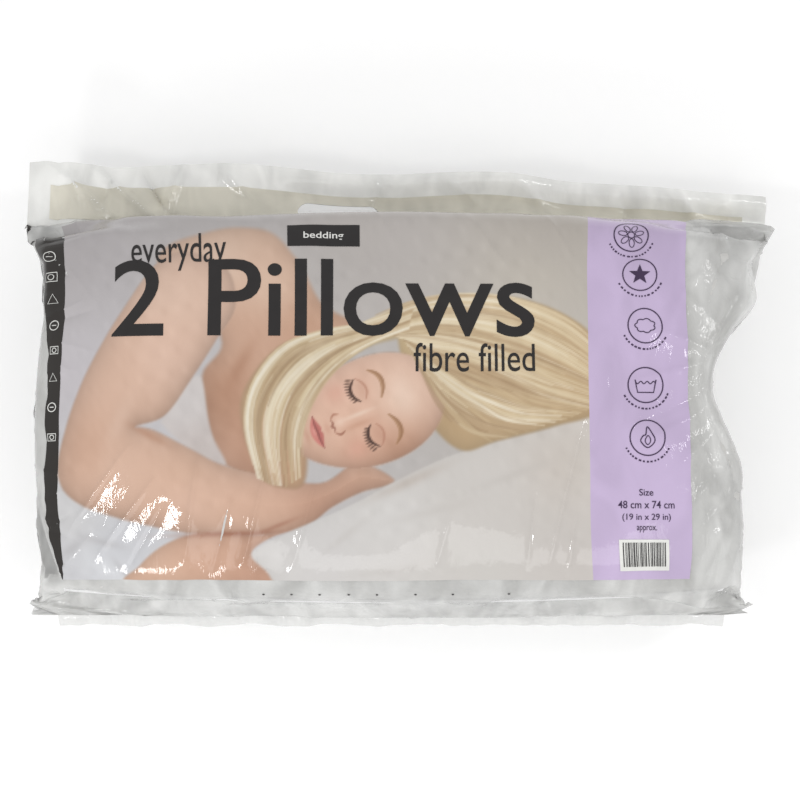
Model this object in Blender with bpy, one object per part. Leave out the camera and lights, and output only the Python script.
"""A shop pack of two bed pillows, lying flat on its back.

Two fibre-filled pillows lie one on the other in a gusseted film bag. The bag has a
front panel, a back panel, a gusset on each short side and a welded hem along the
bottom. Along the top runs a header of two film layers with a reinforcing strip and
a punched carry slot. The header folds about the weld that joins it to the bag.

Metres, +Z up. X runs along the pillows and +Y points to the header. The origin is
at the middle of the base.
"""

import math

import bmesh
import bpy
from mathutils import Vector

# A pillow as packed: a 740 x 480 mm cover, plumped up by its filling.
PILLOW_LENGTH = 0.690
PILLOW_WIDTH = 0.361
PILLOW_THICKNESS = 0.098
PILLOW_CORNER = 0.12  # how far the corners are rounded in plan
PRESSED_BULGE = 0.004  # how much fuller a side is before it is pressed flat
TICKING = 0.0012
SEAM_RADIUS = 0.0024
SEAM_REACH = 0.0014  # from the cover's outline out to the middle of the seam
SEAM_GAP = 0.003  # from the seam's plane to the edge of a cover panel
LABEL_WIDTH = 0.030
LABEL_DROP = 0.026
LABEL_SHIFT = 0.060  # along Y from the middle of the short side
LABEL_THICKNESS = 0.0006

# The bag, as it lies round both pillows.
FILM = 0.0004
GAP = 0.0003
CONTACT = 0.0002  # half of the gap left where two soft faces press together
BAG_FLAT_WIDTH = 0.745
BAG_HALF_LENGTH = 0.352
BAG_HALF_WIDTH = 0.1925
BAG_CREST = PILLOW_THICKNESS + 0.0005
BAG_BACK_CREST = PILLOW_THICKNESS + 0.006  # before the floor flattens it
GUSSET_HALF = 0.060
GUSSET_BULGE = 0.005
GUSSET_REACH = 0.995  # share of the bag's width that a gusset spans
EAR_POWER = 6
HEM_DEPTH = 0.010
HEM_DROOP = 0.008
VENT_RADIUS = 0.0015
VENT_PITCH = 0.0276
VENT_COUNT = 8
VENT_START_X = -0.144
VENT_HEIGHT = 0.060  # above the bag's middle plane

# The header.
HEADER_DEPTH = 0.066
HEADER_START = 0.0025  # from the fold to the film layers
STRIP_START = 0.008
STRIP_DEPTH = 0.036
STRIP_LENGTH = 0.700
SLOT_LENGTH = 0.084
SLOT_WIDTH = 0.024
SLOT_X = -0.058
SLOT_FROM_FOLD = 0.022
SLOT_SEGMENTS = 10

# Worked out from the sizes above.
MIDDLE_Z = PILLOW_THICKNESS + FILM + GAP + CONTACT
FOLD_FROM_MIDDLE = BAG_HALF_WIDTH + FILM
HEM_START = BAG_HALF_WIDTH + FILM + GAP
HEADER_REACH = FOLD_FROM_MIDDLE + HEADER_START + HEADER_DEPTH
HEM_REACH = HEM_START + HEM_DEPTH
BAG_Y = (HEM_REACH - HEADER_REACH) / 2
FOLD_Y = BAG_Y + FOLD_FROM_MIDDLE

COLUMNS = 18
ROWS = 12
UNPRESSED = 1.0  # a flat_at height that no side reaches

FINISHES = {
    "printed_film": ((0.62, 0.57, 0.60), 0.15),
    "clear_film": ((0.78, 0.79, 0.79), 0.12),
    "black_film": ((0.03, 0.03, 0.03), 0.2),
    "strip_film": ((0.68, 0.66, 0.61), 0.25),
    "ticking": ((0.86, 0.87, 0.88), 0.9),
    "seam": ((0.90, 0.90, 0.90), 0.85),
    "fibre": ((0.93, 0.93, 0.92), 1.0),
    "label": ((0.95, 0.95, 0.95), 0.5),
}


def clear_scene():
    """Removes what the scene holds."""
    for thing in list(bpy.data.objects):
        bpy.data.objects.remove(thing)


def finish(slot):
    """The material of one slot, made once."""
    material = bpy.data.materials.get(slot)
    if material is None:
        material = bpy.data.materials.new(slot)
        material.use_nodes = True
        colour, roughness = FINISHES[slot]
        shader = material.node_tree.nodes["Principled BSDF"]
        shader.inputs["Base Color"].default_value = (*colour, 1.0)
        shader.inputs["Roughness"].default_value = roughness
    return material


def add_object(name, data, slot):
    """Links an object that holds this mesh or curve, with its material."""
    thing = bpy.data.objects.new(name, data)
    data.materials.append(finish(slot))
    bpy.context.scene.collection.objects.link(thing)
    return thing


def spaced(count):
    """Values from -1 to 1, closer together towards both ends."""
    return [math.sin(math.pi / 2 * (2 * i / count - 1)) for i in range(count + 1)]


def crown(t, power):
    """A rounded profile: 1 in the middle, flat on top, and 0 at t = -1 and 1."""
    return math.sqrt(max(0.0, 1 - abs(t) ** power))


def grid_of(point, columns=COLUMNS, rows=ROWS):
    """Rows of points of a surface given by point(u, v), with u and v from -1 to 1."""
    return [[Vector(point(u, v)) for u in spaced(columns)] for v in spaced(rows)]


def face_outwards(mesh):
    """Turns the faces of a closed mesh to point out of it."""
    bmesh.ops.recalc_face_normals(mesh, faces=mesh.faces)
    if mesh.calc_volume(signed=True) < 0:
        bmesh.ops.reverse_faces(mesh, faces=mesh.faces)


def slab(name, outer, inner, slot):
    """A closed solid between two grids of points that have the same rows and columns."""
    rows, columns = len(outer), len(outer[0])
    mesh = bmesh.new()
    layers = [[[mesh.verts.new(p) for p in row] for row in grid] for grid in (outer, inner)]
    for grid in layers:
        for j in range(rows - 1):
            for i in range(columns - 1):
                mesh.faces.new([grid[j][i], grid[j][i + 1], grid[j + 1][i + 1], grid[j + 1][i]])
    rim = [(0, i) for i in range(columns)] + [(j, columns - 1) for j in range(1, rows)]
    rim += [(rows - 1, i) for i in reversed(range(columns - 1))]
    rim += [(j, 0) for j in reversed(range(1, rows - 1))]
    for (j, i), (l, k) in zip(rim, rim[1:] + rim[:1]):
        mesh.faces.new([layers[0][j][i], layers[0][l][k], layers[1][l][k], layers[1][j][i]])
    face_outwards(mesh)
    data = bpy.data.meshes.new(name)
    mesh.to_mesh(data)
    mesh.free()
    data.shade_smooth()
    data.set_sharp_from_angle(angle=math.radians(40))
    return add_object(name, data, slot)


# The pillows.


def pillow_outline(u, v, inset):
    """A point in plan of a pillow's surface, taken in by inset from its cover."""
    x = (PILLOW_LENGTH / 2 - inset) * u * math.sqrt(1 - PILLOW_CORNER * v * v)
    y = (PILLOW_WIDTH / 2 - inset) * v * math.sqrt(1 - PILLOW_CORNER * u * u)
    return x, y + BAG_Y


def pillow_side(seam_z, side, inset, edge, pressed):
    """The grid of one side of a pillow, side 1 above its seam and -1 below it.

    edge is the height of its border over the seam's plane. A pressed side is fuller,
    and lies flat against what it rests on.
    """
    half = PILLOW_THICKNESS / 2 - inset
    height = half - edge + (PRESSED_BULGE if pressed else 0.0)
    flat_at = half - CONTACT if pressed else UNPRESSED

    def point(u, v):
        rise = min(edge + height * crown(u, 4) * crown(v, 4), flat_at)
        return (*pillow_outline(u, v, inset), seam_z + side * rise)

    return grid_of(point)


def add_seam(name, seam_z):
    """The sewn edge that joins a cover's two panels, as a closed ring."""
    steps = spaced(ROWS)
    along = spaced(COLUMNS)
    ring = [(1, v) for v in steps[:-1]] + [(u, 1) for u in reversed(along[1:])]
    ring += [(-1, v) for v in reversed(steps[1:])] + [(u, -1) for u in along[:-1]]
    curve = bpy.data.curves.new(name, "CURVE")
    curve.dimensions = "3D"
    curve.bevel_depth = SEAM_RADIUS
    curve.bevel_resolution = 1
    spline = curve.splines.new("POLY")
    spline.points.add(len(ring) - 1)
    for knot, (u, v) in zip(spline.points, ring):
        knot.co = (*pillow_outline(u, v, -SEAM_REACH), seam_z, 1)
    spline.use_cyclic_u = True
    add_object(name, curve, "seam")


def add_care_label(name, seam_z, side):
    """A folded label sewn in at the +X seam. It hangs into the hollow between the pillows."""
    x = PILLOW_LENGTH / 2 + SEAM_REACH
    y = BAG_Y + side * LABEL_SHIFT
    start = seam_z + side * (SEAM_RADIUS + GAP)
    faces = []
    heights = (start, start + side * LABEL_DROP)
    ends = (y - LABEL_WIDTH / 2, y + LABEL_WIDTH / 2)
    for offset in (-LABEL_THICKNESS / 2, LABEL_THICKNESS / 2):
        faces.append([[Vector((x + offset, end, z)) for end in ends] for z in heights])
    slab(name, faces[0], faces[1], "label")


def add_pillow(prefix, seam_z, pressed_sides):
    """One pillow: the cover's two panels, the sewn edge and the filling."""
    for side, word in ((1, "top"), (-1, "bottom")):
        pressed = side in pressed_sides
        outer = pillow_side(seam_z, side, 0.0, SEAM_GAP, pressed)
        inner = pillow_side(seam_z, side, TICKING, SEAM_GAP, pressed)
        slab(f"{prefix}_cover_{word}", outer, inner, "ticking")
    inset = TICKING + GAP
    edge = SEAM_GAP - 3 * GAP
    sides = [pillow_side(seam_z, side, inset, edge, side in pressed_sides) for side in (1, -1)]
    slab(f"{prefix}_fibre_filling", sides[0], sides[1], "fibre")
    add_seam(f"{prefix}_sewn_edge", seam_z)


# The bag.


def bag_half_length(v):
    """Half the bag's length at v, which grows to the flat film's width at both ends."""
    return BAG_HALF_LENGTH + (BAG_FLAT_WIDTH / 2 - BAG_HALF_LENGTH) * abs(v) ** EAR_POWER


def panel_side(side, crest, out, floor=UNPRESSED):
    """The grid of one face of the front (side 1) or back (side -1) panel.

    out is how far it lies outside the inner face, and floor the depth at which the
    surface under the bag stops it.
    """

    def point(u, v):
        rise = (GUSSET_HALF + (crest - GUSSET_HALF) * crown(u, 6) + out) * crown(v, 8)
        x = u * (bag_half_length(v) + out)
        y = v * (BAG_HALF_WIDTH + out) + BAG_Y
        return x, y, MIDDLE_Z + side * min(GAP + rise, floor)

    return grid_of(point)


def along_facets(v, value):
    """What value(v) comes to on the straight facets between a panel's rows."""
    rows = spaced(ROWS)
    row = max(i for i, at in enumerate(rows[:-1]) if at <= v)
    share = (v - rows[row]) / (rows[row + 1] - rows[row])
    return (1 - share) * value(rows[row]) + share * value(rows[row + 1])


def add_panels():
    """The front panel with its vent holes, and the back panel that the pack lies on."""
    front = slab("front_panel", panel_side(1, BAG_CREST, FILM), panel_side(1, BAG_CREST, 0.0), "printed_film")
    cut(front, add_vent_cutter())
    outer = panel_side(-1, BAG_BACK_CREST, FILM, MIDDLE_Z)
    inner = panel_side(-1, BAG_BACK_CREST, 0.0, MIDDLE_Z - FILM)
    slab("back_panel", outer, inner, "clear_film")


def add_gusset(name, end, slot):
    """The film between the two panels at one short side, end 1 at +X and -1 at -X."""

    def face(out):
        def point(w, t):
            v = t * GUSSET_REACH
            share = along_facets(v, lambda at: crown(at, 8))
            half = GUSSET_HALF * share - GAP
            bulge = GUSSET_BULGE * (1 - w * w) * share
            x = end * (along_facets(v, bag_half_length) + bulge + out)
            return x, v * BAG_HALF_WIDTH + BAG_Y, MIDDLE_Z + w * half

        return grid_of(point, columns=6)

    slab(name, face(FILM), face(0.0), slot)


def add_hem():
    """The welded hem that closes the bag's bottom edge. It droops a little."""
    half = BAG_FLAT_WIDTH / 2

    def face(lift):
        rows = []
        for reach, droop in ((0.0, 0.0), (HEM_DEPTH, HEM_DROOP)):
            y = BAG_Y - HEM_START - reach
            rows.append([Vector((x * half, y, MIDDLE_Z - droop + lift)) for x in spaced(COLUMNS)])
        return rows

    slab("bottom_hem", face(FILM), face(-FILM), "clear_film")


def add_vent_cutter():
    """Small round punches along the front panel, above its bottom edge."""
    mesh = bmesh.new()
    share = 1 - (VENT_HEIGHT / BAG_CREST) ** 2
    y = BAG_Y - BAG_HALF_WIDTH * share ** (1 / 8)
    for i in range(VENT_COUNT):
        made = bmesh.ops.create_cone(
            mesh, cap_ends=True, segments=8, radius1=VENT_RADIUS, radius2=VENT_RADIUS, depth=0.008
        )
        place = Vector((VENT_START_X + i * VENT_PITCH, y, MIDDLE_Z + VENT_HEIGHT))
        turn = Vector((0, -1, 0.35)).to_track_quat("Z", "Y").to_matrix()
        for vertex in made["verts"]:
            vertex.co = turn @ vertex.co + place
    return add_cutter("vent_punch", mesh)


def add_cutter(name, mesh):
    """A helper object that only cuts others."""
    data = bpy.data.meshes.new(name)
    mesh.to_mesh(data)
    mesh.free()
    cutter = bpy.data.objects.new(name, data)
    cutter.hide_render = True
    cutter.display_type = "WIRE"
    bpy.context.scene.collection.objects.link(cutter)
    return cutter


def cut(thing, cutter):
    """Takes the cutter's shape out of an object."""
    modifier = thing.modifiers.new("cut", "BOOLEAN")
    modifier.operation = "DIFFERENCE"
    modifier.object = cutter


# The header.


def add_slot_cutter():
    """A long hole with round ends, as a prism that runs through the whole header."""
    radius = SLOT_WIDTH / 2
    straight = SLOT_LENGTH / 2 - radius
    outline = []
    for end in (1, -1):
        for i in range(SLOT_SEGMENTS + 1):
            angle = math.pi * (i / SLOT_SEGMENTS - 0.5)
            x = SLOT_X + end * (straight + radius * math.cos(angle))
            y = FOLD_Y + SLOT_FROM_FOLD + end * radius * math.sin(angle)
            outline.append((x, y))
    mesh = bmesh.new()
    lower = mesh.faces.new([mesh.verts.new((x, y, MIDDLE_Z - 0.01)) for x, y in outline])
    upper = bmesh.ops.extrude_face_region(mesh, geom=[lower])
    for vertex in (g for g in upper["geom"] if isinstance(g, bmesh.types.BMVert)):
        vertex.co.z += 0.02
    face_outwards(mesh)
    return add_cutter("slot_punch", mesh)


def header_layer(name, length, start, depth, low, slot):
    """One flat film layer of the header, from start to start + depth past the fold."""
    y = FOLD_Y + start
    faces = []
    for z in (low, low + FILM):
        rows = [[Vector((x * length / 2, y + t * depth, MIDDLE_Z + z)) for x in spaced(8)] for t in (0, 1)]
        faces.append(rows)
    return slab(name, faces[0], faces[1], slot)


def add_header():
    """The header's two film layers and its reinforcing strip, punched together."""
    punch = add_slot_cutter()
    back_low = -GAP / 2 - FILM
    front_low = GAP / 2
    strip_low = front_low + FILM + GAP
    film_size = (BAG_FLAT_WIDTH, HEADER_START, HEADER_DEPTH)
    layers = [
        header_layer("header_back_film", *film_size, back_low, "clear_film"),
        header_layer("header_front_film", *film_size, front_low, "clear_film"),
        header_layer("header_strip", STRIP_LENGTH, STRIP_START, STRIP_DEPTH, strip_low, "strip_film"),
    ]
    for layer in layers:
        cut(layer, punch)


def main():
    """Builds the whole pack."""
    clear_scene()
    half = PILLOW_THICKNESS / 2
    add_pillow("upper_pillow", MIDDLE_Z + half, pressed_sides=(-1,))
    add_pillow("lower_pillow", MIDDLE_Z - half, pressed_sides=(1, -1))
    add_care_label("upper_pillow_care_label", MIDDLE_Z + half, -1)
    add_care_label("lower_pillow_care_label", MIDDLE_Z - half, 1)
    add_panels()
    add_gusset("left_gusset", -1, "black_film")
    add_gusset("right_gusset", 1, "clear_film")
    add_hem()
    add_header()


main()
